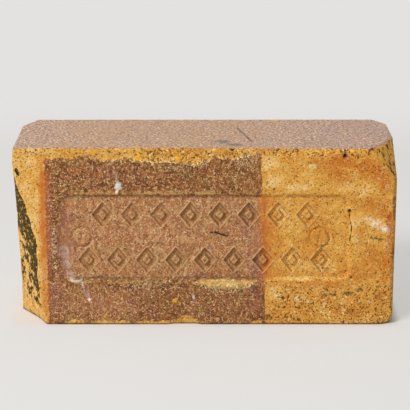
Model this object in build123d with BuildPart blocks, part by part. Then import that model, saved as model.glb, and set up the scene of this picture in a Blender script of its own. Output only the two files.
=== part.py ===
"""Salt-glazed fireclay brick, pressed and fired in one piece, standing on a long side.

X runs along the length, Y through the thickness with the stamped bed face at -Y, and Z is up.
The origin is on the floor, under the middle of the brick.
"""

import os

from build123d import *

# The pressed block, in millimetres
length = 229.0
thickness = 76.0
height = 110.5
arris_radius = 1.6

# Bevel where the glaze has spalled off the top front edge, down the face and back from it
spall_drop = 6.5
spall_back = 2.4

# Bay where the spalling ran further down the face: its middle, and its size below the bevel
bay_x = -12.0
bay_width = 40.0
bay_drop = 4.4
bay_depth = 1.0
bay_draft = 40.0

# Stamp panel sunk in the front bed face, and how far its middle stands above the brick's own
panel_length = 175.5
panel_height = 54.0
panel_depth = 1.8
panel_corner_radius = 8.0
panel_draft = 35.0
panel_rise = -0.1

# Lozenge outlines pressed into the panel's floor to key the mortar, in two rows across it
key_width = 13.0
key_height = 16.0
key_groove = 3.2
key_sink = 1.5
key_draft = 35.0
key_pitch = 17.5
key_row_pitch = 28.4
keys_upper = 8
keys_lower = 9

# Round marks left by the two screws of the stamp plate, which sat a little off its middle
screw_diameter = 10.4
screw_relief = 0.6
screw_slot = 1.4
screw_turn = 77.0
screw_spacing = 143.0
screw_shift = -2.6

# Fracture that has taken the left front edge: how far it runs along the face and back into the
# end, at each height above the foot
fracture_foot = (19.2, 29.5)
fracture_waist = (13.9, 22.0)
fracture_waist_height = 42.0
fracture_tip = (0.3, 1.0)
fracture_tip_height = 97.0

# Knocked-off corners: how far each break runs along X, Y and Z from the square corner
break_front_top_right = (16.0, 31.0, 20.0)
break_back_top_left = (9.0, 18.0, 8.0)
break_back_top_right = (7.0, 11.0, 6.0)
break_front_foot_right = (6.0, 8.0, 4.5)

# Scallop chipped out of the front foot edge: its middle, and its size on the face
chip_x = -11.5
chip_width = 21.0
chip_height = 5.6
chip_depth = 1.3
chip_draft = 40.0

# Scab of glaze and clay that came off below the panel's lower edge
scab_x = 12.5
scab_width = 40.0
scab_drop = 5.6
scab_depth = 0.9

front_plane = Plane.XZ.offset(thickness / 2)
panel_foot = height / 2 + panel_rise - panel_height / 2
spall_plane = Plane(
    origin=(0, -thickness / 2, height - spall_drop),
    z_dir=(0, -1 / spall_back, 1 / spall_drop),
)


def corner_plane(side, legs):
    """Plane of a break across the corner on the given side, leaning out of the brick."""
    side_x, side_y, side_z = side
    leg_x, leg_y, leg_z = legs
    corner_z = height if side_z > 0 else 0.0
    foot = Vector(side_x * (length / 2 - leg_x), side_y * thickness / 2, corner_z)
    return Plane(origin=foot, z_dir=(side_x / leg_x, side_y / leg_y, side_z / leg_z))


def segment_radius(chord, rise):
    """Radius of the circle that stands this high over a chord of this width."""
    return (chord**2 / 4 + rise**2) / (2 * rise)


def lozenges(count, row_offset):
    """One row of lozenge outlines, drawn in the open sketch."""
    half_width, half_height = key_width / 2, key_height / 2
    outline = [(half_width, 0), (0, half_height), (-half_width, 0), (0, -half_height)]
    with Locations((0, height / 2 + panel_rise + row_offset)):
        with GridLocations(key_pitch, key_row_pitch, count, 1):
            Polygon(*outline)


# The block as it left the press, with worn arrises and the spalled top front edge
with BuildPart() as brick:
    Box(length, thickness, height, align=(Align.CENTER, Align.CENTER, Align.MIN))
    fillet(brick.edges(), arris_radius)
    split(bisect_by=spall_plane, keep=Keep.BOTTOM)

    # Stamp panel, with walls that slope so that the plate could lift out
    with BuildSketch(front_plane):
        with Locations((0, height / 2 + panel_rise)):
            RectangleRounded(panel_length, panel_height, panel_corner_radius)
    extrude(amount=-panel_depth, taper=panel_draft, mode=Mode.SUBTRACT)

    # Lozenge grooves go deeper than the panel's floor
    with BuildSketch(front_plane.offset(-panel_depth)):
        lozenges(keys_upper, key_row_pitch / 2)
        lozenges(keys_lower, -key_row_pitch / 2)
        offset(amount=-key_groove, kind=Kind.INTERSECTION, mode=Mode.SUBTRACT)
    extrude(amount=-key_sink, taper=key_draft, mode=Mode.SUBTRACT)

    # Slotted screw heads at both ends of the panel
    with BuildSketch(front_plane.offset(-panel_depth)):
        with Locations((screw_shift, height / 2 + panel_rise)):
            with GridLocations(screw_spacing, 0, 2, 1):
                Circle(screw_diameter / 2)
                Rectangle(screw_diameter, screw_slot, rotation=screw_turn, mode=Mode.SUBTRACT)
    extrude(amount=screw_relief)

    # Bay in the spalled edge, scallop at the foot, and the scab under the panel
    bay_radius = segment_radius(bay_width, bay_drop)
    with BuildSketch(front_plane):
        with Locations((bay_x, height - spall_drop - bay_drop + bay_radius)):
            Circle(bay_radius)
    extrude(amount=-bay_depth, taper=bay_draft, mode=Mode.SUBTRACT)
    chip_radius = segment_radius(chip_width, chip_height)
    with BuildSketch(front_plane):
        with Locations((chip_x, chip_height - chip_radius)):
            Circle(chip_radius)
    extrude(amount=-chip_depth, taper=chip_draft, mode=Mode.SUBTRACT)
    scab_radius = segment_radius(scab_width, scab_drop)
    with BuildSketch(front_plane):
        with Locations((scab_x, panel_foot - scab_drop + scab_radius)):
            Circle(scab_radius)
        with Locations((scab_x, panel_foot)):
            Rectangle(2 * scab_radius, 4 * scab_drop, mode=Mode.INTERSECT)
    extrude(amount=-scab_depth, mode=Mode.SUBTRACT)

    # Oblique fracture down the left front edge
    sections = [
        (0.0, fracture_foot),
        (fracture_waist_height, fracture_waist),
        (fracture_tip_height, fracture_tip),
    ]
    for level, (along, back) in sections:
        with BuildSketch(Plane.XY.offset(level)):
            with Locations((-length / 2, -thickness / 2)):
                Polygon((0, 0), (along, 0), (0, back), align=None)
    loft(ruled=True, mode=Mode.SUBTRACT)

    # Corners knocked off
    split(bisect_by=corner_plane((1, -1, 1), break_front_top_right), keep=Keep.BOTTOM)
    split(bisect_by=corner_plane((-1, 1, 1), break_back_top_left), keep=Keep.BOTTOM)
    split(bisect_by=corner_plane((1, 1, 1), break_back_top_right), keep=Keep.BOTTOM)
    split(bisect_by=corner_plane((1, -1, -1), break_front_foot_right), keep=Keep.BOTTOM)

brick.part.label = "brick"
os.makedirs("parts", exist_ok=True)
export_step(brick.part, "parts/brick.step")
print("brick volume in litres:", round(brick.part.volume / 1e6, 4))
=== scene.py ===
import math
from functools import partial

import bpy
import numpy as np
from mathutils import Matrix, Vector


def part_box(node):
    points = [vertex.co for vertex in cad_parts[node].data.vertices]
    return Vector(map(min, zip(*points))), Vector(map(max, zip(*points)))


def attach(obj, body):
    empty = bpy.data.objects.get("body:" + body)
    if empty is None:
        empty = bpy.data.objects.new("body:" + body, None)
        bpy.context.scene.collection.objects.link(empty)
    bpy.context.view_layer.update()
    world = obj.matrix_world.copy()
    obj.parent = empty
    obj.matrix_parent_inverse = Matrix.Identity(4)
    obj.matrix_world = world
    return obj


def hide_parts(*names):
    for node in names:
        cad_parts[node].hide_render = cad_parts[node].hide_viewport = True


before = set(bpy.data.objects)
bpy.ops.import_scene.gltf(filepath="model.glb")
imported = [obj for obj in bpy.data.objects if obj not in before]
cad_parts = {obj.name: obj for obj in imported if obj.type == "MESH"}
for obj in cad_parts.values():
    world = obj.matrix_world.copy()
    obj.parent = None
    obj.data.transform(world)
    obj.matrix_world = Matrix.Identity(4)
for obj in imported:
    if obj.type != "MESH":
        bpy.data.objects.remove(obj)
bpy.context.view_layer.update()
scene = bpy.context.scene
scene.view_settings.view_transform = "Standard"
mm = 0.001                      # shapes are worked out in millimetres and stored in metres
lowCorner, highCorner = (np.array(corner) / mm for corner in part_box("brick"))
halfLength = (highCorner[0] - lowCorner[0]) / 2
halfDepth = (highCorner[1] - lowCorner[1]) / 2
height = highCorner[2]
print("frame loaded, block of", 2 * halfLength, 2 * halfDepth, height, "mm")


# sRGB hex to the linear colour that a socket takes
def hexColour(text):
    parts = [int(text[k:k + 2], 16) / 255 for k in (1, 3, 5)]
    return (*[c / 12.92 if c <= 0.04045 else ((c + 0.055) / 1.055) ** 2.4 for c in parts], 1.0)


# Adds one shader node: its settings, then each input as a link or as a plain value. Gives back the output
# asked for, or the node itself where none is.
def put(tree, kind, inputs=None, out=0, **settings):
    node = tree.nodes.new("ShaderNode" + kind)
    for name, value in settings.items():
        setattr(node, name, value)
    for socket, value in (inputs or {}).items():
        if isinstance(value, bpy.types.NodeSocket):
            tree.links.new(value, node.inputs[socket])
        else:
            node.inputs[socket].default_value = value
    return node if out is None else node.outputs[out]


def newMaterial(name):
    material = bpy.data.materials.new(name)
    material.use_nodes = True
    material.node_tree.nodes.clear()
    return material, material.node_tree


def perCell(size):              # texture scale for one cell of this many millimetres
    return 1 / (size * mm)


# Camera at the photograph's viewing angle, worked out from the brick's edges in it
cameraSetup = dict(across=0.0, away=914.3, up=337.1, pitch=16.59, lens=134.81)

cameraData = bpy.data.cameras.new("camera")
cameraData.lens = cameraSetup["lens"]
cameraData.sensor_width = 36.0
cameraData.clip_end = 50.0
camera = bpy.data.objects.new("camera", cameraData)
camera.location = (cameraSetup["across"] * mm, -cameraSetup["away"] * mm, cameraSetup["up"] * mm)
camera.rotation_euler = (math.radians(90 - cameraSetup["pitch"]), 0, 0)
scene.collection.objects.link(camera)
scene.camera = camera

# Soft light: a wide panel in front and above, a little to the left, and an even surround
lightSetup = dict(
    surround=0.36,
    keyWatts=35.0, keySize=(0.7, 0.55), keyPlace=(-1.0, -1.15, 1.45),
    topWatts=2.0, topSize=(1.2, 1.0), topPlace=(0.1, 0.25, 1.5),
    aim=(0.0, 0.0, 0.05),
)


def softPanel(name, watts, size, place, aim):
    data = bpy.data.lights.new(name, "AREA")
    data.shape = "RECTANGLE"
    data.size, data.size_y = size
    data.energy = watts
    lamp = bpy.data.objects.new(name, data)
    lamp.location = place
    lamp.rotation_euler = (lamp.location - type(lamp.location)(aim)).to_track_quat("Z", "Y").to_euler()
    scene.collection.objects.link(lamp)


for name in ("key", "top"):
    watts, size, place = (lightSetup[name + part] for part in ("Watts", "Size", "Place"))
    softPanel(name + "Panel", watts, size, place, lightSetup["aim"])

world = bpy.data.worlds.new("studio")
scene.world = world
world.use_nodes = True
sky = world.node_tree
sky.nodes.clear()
rayKind = sky.nodes.new("ShaderNodeLightPath")
seen = put(sky, "Math", {0: rayKind.outputs["Is Camera Ray"], 1: rayKind.outputs["Is Glossy Ray"]},
           operation="MAXIMUM")
seen = put(sky, "Math", {0: seen, 1: rayKind.outputs["Is Transmission Ray"]}, operation="MAXIMUM")
surround = put(sky, "Background", {"Color": (1, 1, 1, 1), "Strength": lightSetup["surround"]})
backdrop = put(sky, "Background", {"Color": hexColour("#e3e3e1"), "Strength": 1.0})
put(sky, "OutputWorld", {"Surface": put(sky, "MixShader", {0: seen, 1: surround, 2: backdrop})}, out=None)
print("camera and light placed")

# Pale paper floor that runs up to the backdrop's colour behind the brick
floorSetup = dict(
    reach=6.0, paper="#e3e0dc", far="#e3e2e0", footprint=(0.1145, 0.038, 1.0),
    contact=0.006, least=0.6, fadeFrom=0.05, fadeTo=0.55,
)

floorMesh = bpy.data.meshes.new("floor")
reach = floorSetup["reach"]
floorMesh.from_pydata([(-reach, -reach, 0), (reach, -reach, 0), (reach, reach, 0), (-reach, reach, 0)], [],
                      [(0, 1, 2, 3)])
floor = bpy.data.objects.new("floor", floorMesh)
scene.collection.objects.link(floor)
paper, tree = newMaterial("matt_paper")
where = put(tree, "TexCoord", out=3)
away = put(tree, "VectorMath", {0: where}, operation="ABSOLUTE")
away = put(tree, "VectorMath", {0: away, 1: floorSetup["footprint"]}, operation="SUBTRACT")
away = put(tree, "VectorMath", {0: away, 1: (0, 0, 0)}, operation="MAXIMUM")
away = put(tree, "VectorMath", {0: away}, out=1, operation="LENGTH")
near = put(tree, "MapRange", {0: away, 1: 0.0, 2: floorSetup["contact"], 3: 0.0, 4: floorSetup["least"]})
fade = put(tree, "MapRange", {0: away, 1: floorSetup["fadeFrom"], 2: floorSetup["fadeTo"], 3: 0.0},
           interpolation_type="SMOOTHSTEP")
fade = put(tree, "Math", {0: near, 1: fade}, operation="MAXIMUM")
rayKind = tree.nodes.new("ShaderNodeLightPath")
fade = put(tree, "Math", {0: fade, 1: rayKind.outputs["Is Camera Ray"]}, operation="MULTIPLY")
matt = put(tree, "BsdfDiffuse", {"Color": hexColour(floorSetup["paper"])})
glow = put(tree, "Emission", {"Color": hexColour(floorSetup["far"])})
put(tree, "OutputMaterial", {"Surface": put(tree, "MixShader", {0: fade, 1: matt, 2: glow})}, out=None)
floorMesh.materials.append(paper)
print("floor laid")


# Lattice noise: every corner of a cubic cell has a number worked out from its own place, and the
# eight corners are blended by a quintic ease, so the field is smooth, runs -1 to 1 and never changes
def latticeNoise(place, cell, seed):
    scaled = place / cell
    base = np.floor(scaled)
    ease = scaled - base
    ease = ease ** 3 * (ease * (ease * 6 - 15) + 10)
    base = base.astype(np.int64)
    total = np.zeros(place.shape[:-1])
    for corner in np.ndindex(2, 2, 2):
        spot = base + corner
        mixed = spot[..., 0] * 73856093 ^ spot[..., 1] * 19349663 ^ spot[..., 2] * 83492791 ^ seed * 40503
        mixed = ((mixed ^ mixed >> 13) & 0x7FFFFFFF) * 1274126177 >> 7
        total += np.prod(np.where(corner, ease, 1 - ease), axis=-1) * ((mixed & 0xFFFFFF) / 0x7FFFFF - 1)
    return total


# Several sizes of lattice noise summed, each half the cell and half the height of the one before
def fractal(place, cell, octaves, seed):
    layers = [latticeNoise(place, cell / 2 ** k, seed + k) / 2 ** k for k in range(octaves)]
    return sum(layers) / (2 - 2 ** (1 - octaves))


def easeStep(low, high, value):   # 0 below low, 1 above high, a smooth S between
    share = np.clip((value - low) / (high - low), 0, 1)
    return share * share * (3 - 2 * share)


def bell(value, middle, width):   # 1 at the middle, falling off to both sides as a bell curve
    return np.exp(-((value - middle) / width) ** 2)


# Distance from an ellipse's middle over its size, 1 on its outline
def onEllipse(x, z, spot):
    (atX, atZ), (halfX, halfZ) = spot["at"], spot["half"]
    return np.hypot((x - atX) / halfX, (z - atZ) / halfZ)


# Distance from a rounded rectangle's outline, negative inside
def rectangleGap(x, z, halfX, halfZ, radius):
    overX, overZ = np.abs(x) - halfX + radius, np.abs(z) - halfZ + radius
    outside = np.hypot(np.maximum(overX, 0), np.maximum(overZ, 0))
    return outside + np.minimum(np.maximum(overX, overZ), 0) - radius


# Distance from a bent line on a face
def lineGap(x, z, points):
    nearest = np.full(x.shape, 1e3)
    for (x0, z0), (x1, z1) in zip(points, points[1:]):
        run = math.hypot(x1 - x0, z1 - z0)
        along = ((x - x0) * (x1 - x0) + (z - z0) * (z1 - z0)) / run
        side = ((x - x0) * (z1 - z0) - (z - z0) * (x1 - x0)) / run
        past = along - np.clip(along, 0, run)
        nearest = np.minimum(nearest, np.hypot(side, past))
    return nearest


# The brick's surface: rings round its long section are carried along its length, and close over
# the ends by shrinking to a point. Rows are stations along X, columns run up the stamped face,
# back over the top, down the plain face and forward under the foot.
brickGrid = dict(
    stampedRows=(0, 38, 150, 184), stampedHeights=(0.0, 25.0, 85.5, height), top=40, plain=14, foot=10,
    stations=360, capRings=20, crowd=0.35,
)


def crowded(count, crowd):        # 0 to 1 in count steps, closer together near both ends
    even = np.arange(count) / count
    return even - crowd * np.sin(2 * np.pi * even) / (2 * np.pi)


def ringAndRows(grid):
    corners = np.array([(-halfDepth, 0), (-halfDepth, height), (halfDepth, height), (halfDepth, 0)])
    marked = grid["stampedRows"]
    front = np.interp(np.arange(marked[-1]), marked, grid["stampedHeights"]) / height
    shares = [front] + [crowded(grid[side], grid["crowd"]) for side in ("top", "plain", "foot")]
    ring = np.concatenate([
        corners[k] + shares[k][:, None] * (corners[(k + 1) % 4] - corners[k]) for k in range(4)
    ])
    shrink = 1 - (1 - np.arange(1, grid["capRings"] + 1) / (grid["capRings"] + 1)) ** 1.25
    along = np.linspace(-halfLength, halfLength, grid["stations"])
    rowX = np.concatenate([np.full(len(shrink), -halfLength), along, np.full(len(shrink), halfLength)])
    rowScale = np.concatenate([shrink, np.ones(len(along)), shrink[::-1]])
    return ring, rowX, rowScale


ring, rowX, rowScale = ringAndRows(brickGrid)
middle = np.array([0, height / 2])
section = middle + rowScale[:, None, None] * (ring - middle)
sharp = np.concatenate([np.broadcast_to(rowX[:, None, None], section.shape[:2] + (1,)), section], axis=-1)
poles = np.array([(-halfLength, 0, height / 2), (halfLength, 0, height / 2)])
place = np.concatenate([sharp.reshape(-1, 3), poles])
print("grid of", len(place), "points")

# What is pressed into the stamped face
stamp = dict(
    halfX=87.75, halfZ=27.0, corner=8.0, rise=-0.1, depth=1.8, wall=1.2,
    wornWall=1.9, wornFrom=(50, 80), gentleWall=4.6, gentleFrom=(-79, -86),
    keyHalf=(6.5, 8.0), keyGroove=3.2, keySink=1.5, keyBurr=0.3, keyPitch=17.5, rowPitch=28.4, keys=(8, 9),
    screwRadius=5.2, screwRelief=0.6, screwMoat=0.9, screwSlot=1.4, screwSpacing=143.0, screwShift=-2.6,
    screwTurn=77.0,
)


# Depth of the stamp: a sunk panel with sloping walls, worn out towards its right end, with lozenge
# outlines pressed deeper into its floor and two slotted screw heads standing up from it, each in a
# narrow moat. An outline is a flat groove with a low burr along its rim. Also gives the groove's and
# the rims' shares, and a share that is 1 all round the lozenges.
def stampDepth(x, z, wobble, swell):
    up = z - height / 2 - stamp["rise"]
    wall = stamp["wall"] + (stamp["wornWall"] - stamp["wall"]) * easeStep(*stamp["wornFrom"], x)
    wall = wall + (stamp["gentleWall"] - stamp["wall"]) * easeStep(*stamp["gentleFrom"], x)
    gap = rectangleGap(x, up, stamp["halfX"], stamp["halfZ"], stamp["corner"]) + 0.5 * wobble
    depth = stamp["depth"] * easeStep(0.3, -1, gap / wall)
    pressed = (1 + 0.4 * swell) * (1 - 0.15 * easeStep(28, 46, x))
    groove, rim, keyed = np.zeros((3, len(x)))
    halfX, halfZ = stamp["keyHalf"]
    halfGroove = stamp["keyGroove"] / 2
    for count, rowUp in zip(stamp["keys"], (stamp["rowPitch"] / 2, -stamp["rowPitch"] / 2)):
        slotNumber = np.clip(np.round(x / stamp["keyPitch"] + (count - 1) / 2), 0, count - 1)
        acrossX = x - (slotNumber - (count - 1) / 2) * stamp["keyPitch"]
        edge = np.abs(acrossX) * halfZ + np.abs(up - rowUp) * halfX - halfX * halfZ
        fromLine = np.abs(edge / math.hypot(halfX, halfZ) + halfGroove) + 0.12 * wobble
        groove = np.maximum(groove, easeStep(halfGroove + 0.1, 0.7, fromLine))
        keyed = np.maximum(keyed, easeStep(halfGroove + 2.2, halfGroove + 1.4, fromLine))
        rim = np.maximum(rim, bell(fromLine - halfGroove, 0.3, 0.5))
    side = np.where(x > stamp["screwShift"], 1, -1)
    acrossX = x - stamp["screwShift"] - side * stamp["screwSpacing"] / 2
    turn = math.radians(stamp["screwTurn"])
    slot = np.abs(up * math.cos(turn) - acrossX * math.sin(turn))
    fromHead = np.hypot(acrossX, up) - stamp["screwRadius"]
    halfSlot = stamp["screwSlot"] / 2
    head = easeStep(0.4, -0.5, fromHead) * easeStep(halfSlot - 0.4, halfSlot + 0.4, slot)
    moat = bell(fromHead, 0.7, 0.7)
    rim = np.maximum(rim, 0.8 * bell(fromHead, -0.3, 0.6))
    depth = depth + pressed * (stamp["keySink"] * groove - stamp["keyBurr"] * rim)
    depth = depth + pressed * (stamp["screwMoat"] * moat - stamp["screwRelief"] * head)
    return depth, groove, rim, keyed * pressed


# Wear and damage, in millimetres on the stamped face (x from the middle, z above the floor)
damage = dict(
    spallX=(-115, -95, -77, -59, -41, -24, -12, -3, 6, 18, 27, 33, 40, 115),
    spallZ=(103, 103, 104.8, 104.5, 103.6, 101.8, 99.6, 102.4, 105.1, 104.8, 106.1, 106.3, 106.5, 106.5),
    spallStep=0.6, spallSlope=0.24,
    lens=dict(at=(12.5, 28.5), half=(20.0, 5.6), depth=0.9),
    footChip=dict(at=(-11.5, 0.0), half=(10.5, 5.6), depth=1.3),
    pits=[
        ((86.6, 71.8), 1.3, 2.0), ((82.9, 106.0), 2.0, 2.2), ((41.3, 85.6), 0.9, 1.2),
        ((85.3, 33.7), 0.8, 1.0), ((42.8, 109.4), 1.0, 1.0), ((48.7, 108.6), 0.9, 1.2),
        ((54.6, 108.6), 0.9, 1.2), ((88.2, 30.2), 0.9, 1.0), ((47.4, 17.2), 0.9, 1.0),
        ((54.6, 17.8), 0.9, 1.0), ((103.2, 33.0), 1.0, 0.8), ((-79.5, 69.5), 0.6, 0.7),
    ],
    pebble=dict(at=(64.0, 99.6), half=(3.0, 1.7), relief=0.5),
    cracks=[
        ((3.6, 58.2), (6.8, 58.2), (10.3, 56.5), (13.5, 56.2)),
        ((86.6, 72.0), (86.4, 67.1), (87.8, 61.6), (87.0, 52.7)),
        ((82.9, 106.0), (82.7, 111.0)),
    ],
    crackFaint=(1.0, 1.4, 1.0), crackWidth=0.55, crackDepth=0.8,
)

# Breaks: the oblique fracture at the left front edge, given by how far it runs along the face and
# back into the end at each height, and the corners knocked off
breaks = dict(
    heights=(0, 6, 16, 29, 42, 54, 67, 79, 89, 96, 111),
    along=(19.2, 17.0, 14.7, 13.9, 13.9, 12.9, 9.7, 6.2, 2.1, 0.6, 0.3),
    back=(29.5, 28.9, 28.0, 25.8, 22.5, 19.2, 15.2, 10.8, 8.0, 3.0, 1.0),
    corners=[
        dict(side=(1, -1, 1), legs=(16.0, 31.0, 20.0), blend=1.6, rough=0.9),
        dict(side=(-1, 1, 1), legs=(9.0, 18.0, 8.0), blend=1.2, rough=0.6),
        dict(side=(1, -1, -1), legs=(6.0, 8.0, 4.5), blend=2.5, rough=0.4),
        dict(side=(1, 1, 1), legs=(7.0, 11.0, 6.0), blend=2.5, rough=0.3),
    ],
    fractureRough=1.2, footNotch=1.5, headroom=0.06, arris=1.6,
)


# Larger of two distances with the corner between them rounded off over the blend, its direction
# mixed in the same share, and that share
def softUnion(gap, lean, otherGap, otherLean, blend):
    share = np.clip(0.5 + 0.5 * (otherGap - gap) / blend, 0, 1)
    rounded = np.maximum(gap, otherGap) + np.maximum(blend - np.abs(gap - otherGap), 0) ** 2 / (4 * blend)
    mixedLean = lean + share[:, None] * (otherLean - lean)
    return rounded, mixedLean, share


# How far each point is outside the worn block, which way out is, and how much of it is broken
# surface. The six faces meet in rounded arrises: the length of the positive parts of their
# distances, less the radius. Each break then takes its share.
def blockGap(place, faceDepth, arris, crumble):
    x, y, z = place.T
    gaps = np.stack([
        -halfLength - x, x - halfLength, -halfDepth - y, y - halfDepth, -z, z - height,
    ]) + faceDepth + arris
    over = np.maximum(gaps, 0)
    size = np.sqrt((over ** 2).sum(0))
    lean = np.stack([over[1] - over[0], over[3] - over[2], over[5] - over[4]], axis=-1)
    inside = size < 1e-9
    lean = lean / np.where(inside, 1, size)[:, None]
    gap = np.where(inside, gaps.max(0), size) - arris
    along = np.interp(z, breaks["heights"], breaks["along"])
    back = np.interp(z, breaks["heights"], breaks["back"])
    reach = 1 / np.hypot(1 / along, 1 / back)
    fracture = (1 - (x + halfLength) / along - (y + halfDepth) / back) * reach
    fracture = fracture + breaks["fractureRough"] * crumble
    fracture = fracture + breaks["footNotch"] * easeStep(9, 1, z) * latticeNoise(place, 8.0, 61)
    fractureLean = np.stack([-reach / along, -reach / back, np.zeros_like(z)], axis=-1)
    gap, lean, cracked = softUnion(gap, lean, fracture, fractureLean, 1.0)
    chipped = np.zeros_like(gap)
    for corner in breaks["corners"]:
        side, legs = np.array(corner["side"]), np.array(corner["legs"])
        slope = side / legs
        apex = np.array([side[0] * halfLength, side[1] * halfDepth, height if side[2] > 0 else 0.0])
        cut = ((place - apex) @ slope + 1) / np.linalg.norm(slope) + corner["rough"] * crumble
        cutLean = np.broadcast_to(slope / np.linalg.norm(slope), place.shape)
        gap, lean, share = softUnion(gap, lean, cut, cutLean, corner["blend"])
        chipped = np.maximum(chipped, share)
    return gap, lean, cracked, chipped


# Height of the line above which the glaze has spalled off the stamped face, ragged in three sizes
def spallLine(x):
    return np.interp(x, damage["spallX"], damage["spallZ"]) - 2.0 * wobble - 0.8 * fine - 2.4 * crumble


# How deep the stamped face lies at each point below the flat: the stamp, the glaze's spalled edge and the
# slope above it, bowls for the chips, cups for the pits, furrows for the cracks, less the pebble
def frontDepth(x, z, wobble, fine, swell):
    depth, groove, rim, keyed = stampDepth(x, z, wobble, swell)
    overSpall = z - spallLine(x)
    glazed = easeStep(-96, -94, x) * easeStep(35, 33, x)
    depth = depth + (0.15 + 0.85 * glazed) * damage["spallStep"] * easeStep(-0.3, 0.5, overSpall)
    depth = depth + damage["spallSlope"] * np.maximum(overSpall, 0)
    for chip in (damage["lens"], damage["footChip"]):
        bowl = 1 - onEllipse(x, z, chip) + 0.12 * wobble
        depth = depth + chip["depth"] * easeStep(0, 0.55, bowl)
    for (atX, atZ), radius, deep in damage["pits"]:
        depth = depth + deep * easeStep(radius, 0.2 * radius, np.hypot(x - atX, z - atZ) + 0.3 * fine)
    onPebble = onEllipse(x, z, damage["pebble"]) + 0.25 * wobble
    depth = depth - damage["pebble"]["relief"] * easeStep(1.1, 0.5, onPebble)
    for crack in damage["cracks"]:
        gap = lineGap(x + 0.4 * wobble, z + 0.4 * wobble, crack)
        depth = depth + damage["crackDepth"] * easeStep(damage["crackWidth"] * 1.6, 0, gap)
    return depth, groove, rim, keyed


# Unevenness in four sizes, each with its cell in millimetres, octaves and seed
uneven = dict(swell=(45.0, 2, 11), wobble=(7.0, 3, 21), fine=(2.4, 2, 31), crumble=(11.0, 4, 41))
swell, wobble, fine, crumble = (fractal(place, *size) for size in uneven.values())
x, y, z = place.T
arris = breaks["arris"] * (1 + 0.35 * wobble) * (0.35 + 0.65 * easeStep(0, 14, z))
# the back top edge stayed sharper
arris = arris * (1 - 0.6 * easeStep(28, 34, y) * easeStep(100, 106, z))
arris = arris + 2.0 * easeStep(104, 114, x) * easeStep(-24, -36, y)          # the right front edge is worn
faceDepth = np.zeros((6, len(place))) + breaks["headroom"] + 0.12 + 0.12 * swell
frontSunk, groove, rim, keyed = frontDepth(x, z, wobble, fine, swell)
faceDepth[2] += frontSunk
faceDepth[4] = 0                  # it stands on its foot
grit = 0.07 * fine + 0.06 * latticeNoise(place, 1.6, 51)
surface = place.copy()
for step in range(5):             # Newton steps bring the sharp grid onto the worn surface
    gap, lean, cracked, chipped = blockGap(surface, faceDepth, arris, crumble)
    steep = np.maximum((lean ** 2).sum(-1), 0.3)
    surface = surface - ((gap + grit) / steep)[:, None] * lean
surface = np.clip(surface, lowCorner, highCorner)
print("surface settled, worst gap", round(float(np.abs(gap + grit).max()), 3), "mm")

rows, columns = sharp.shape[:2]
number = np.arange(rows * columns).reshape(rows, columns)
after = np.roll(number, -1, axis=1)
quads = np.stack([number[:-1], number[1:], after[1:], after[:-1]], axis=-1).reshape(-1, 4)
leftPole, rightPole = rows * columns, rows * columns + 1
fans = [(leftPole, a, b) for a, b in zip(number[0], after[0])]
fans += [(rightPole, b, a) for a, b in zip(number[-1], after[-1])]
brickMesh = bpy.data.meshes.new("glazedBrick")
brickMesh.from_pydata((surface * mm).tolist(), [], quads.tolist() + fans)
brickMesh.polygons.foreach_set("use_smooth", np.ones(len(brickMesh.polygons), bool))
brickMesh.update()
glazedBrick = bpy.data.objects.new("glazedBrick", brickMesh)
scene.collection.objects.link(glazedBrick)
print("mesh of", sum(len(p.vertices) - 2 for p in brickMesh.polygons), "triangles")


# Flat layout for baking, in millimetres over the side of a square: the four long faces unrolled, x across
# and the way round the ring upwards, and beside them the two ends as they stand
def bakeLayout(side, margin):
    rounded = np.concatenate([ring, ring[:1]])
    wayRound = np.concatenate([[0], np.cumsum(np.hypot(*np.diff(rounded, axis=0).T))])
    unrolled = np.stack(np.broadcast_arrays(rowX[:, None] + halfLength, wayRound), axis=-1)
    ends = np.concatenate([section, section[:, :1]], axis=1) + (2 * halfLength + halfDepth + margin, 0)
    ends[rows // 2:] += (0, height + margin)
    band, capped = np.arange(rows - 1), brickGrid["capRings"]
    onEnd = (band < capped) | (band >= rows - 1 - capped)
    turns = [(0, 0), (1, 0), (1, 1), (0, 1)]      # row and column steps round a quad
    flat = [
        np.where(onEnd[:, None, None], *(lay[r:rows - 1 + r, c:columns + c] for lay in (ends, unrolled)))
        for r, c in turns
    ]
    leftTip = np.broadcast_to((2 * halfLength + halfDepth + margin, height / 2), (columns, 2))
    rightTip = leftTip + (0, height + margin)
    leftFan = np.stack([leftTip, ends[0, :-1], ends[0, 1:]], axis=1)
    rightFan = np.stack([rightTip, ends[-1, 1:], ends[-1, :-1]], axis=1)
    corners = [np.stack(flat, axis=2).reshape(-1, 2), leftFan.reshape(-1, 2), rightFan.reshape(-1, 2)]
    return (np.concatenate(corners) + margin / 2) / side


bakeMap = brickMesh.uv_layers.new(name="OFBake")
bakeMargin = 4.0                 # millimetres between the parts of the layout
bakeSide = 4 * halfDepth + 2 * height + 2 * bakeMargin
bakeMap.data.foreach_set("uv", bakeLayout(bakeSide, bakeMargin).astype(np.float32).ravel())
print("bake layout drawn")

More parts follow.
